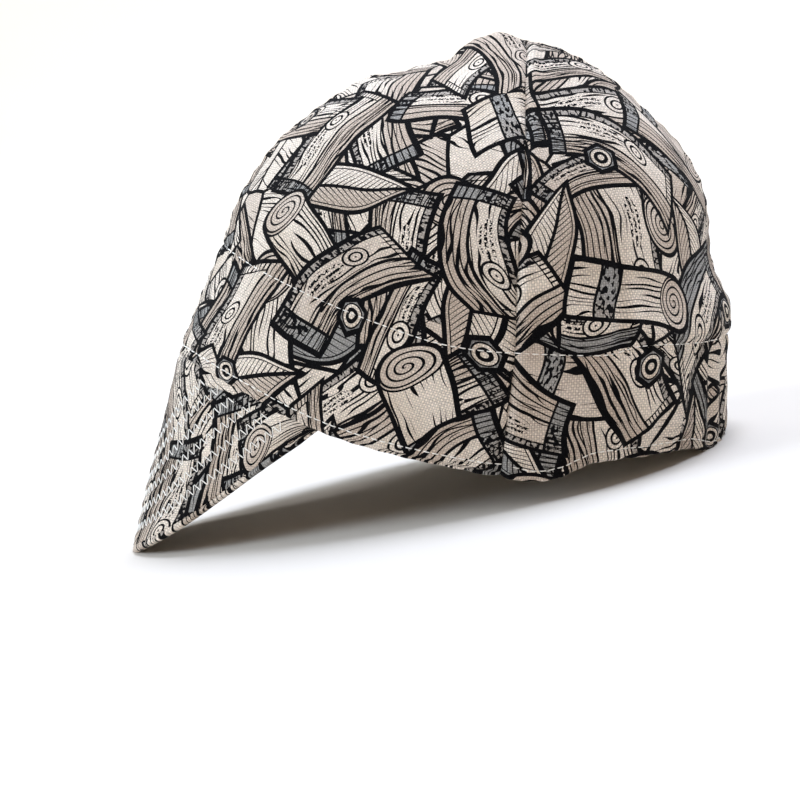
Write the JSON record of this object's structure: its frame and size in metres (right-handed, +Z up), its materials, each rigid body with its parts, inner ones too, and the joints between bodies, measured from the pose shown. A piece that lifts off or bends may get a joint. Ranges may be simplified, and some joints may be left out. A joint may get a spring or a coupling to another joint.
{
  "type": "welding cap",
  "caption": "Soft cotton-canvas welding cap: a domed crown of gores sewn to a point, a short drooping quilted bill, a wide inner sweatband and an elastic-gathered back.",
  "frame": {"origin": "middle of the cap's footprint on the table, at table height", "axes": "+Z up, -Y towards the front where the bill is, +X towards the wearer's left"},
  "size_m": [0.165, 0.247, 0.1681],
  "materials": {
    "printed_canvas": "matt plain-weave cotton canvas with a dark-outlined print",
    "bill_under_canvas": "matt plain-weave cotton canvas with the same print",
    "band_cotton": "matt unprinted cotton"
  },
  "bodies": {
    "root": {"crown_front_left": "printed_canvas", "crown_front_right": "printed_canvas", "crown_back_left": "printed_canvas", "crown_back_right": "printed_canvas", "bill_upper": "printed_canvas", "bill_under": "bill_under_canvas", "sweatband": "band_cotton", "elastic_casing": "band_cotton"}
  },
  "joints": []
}
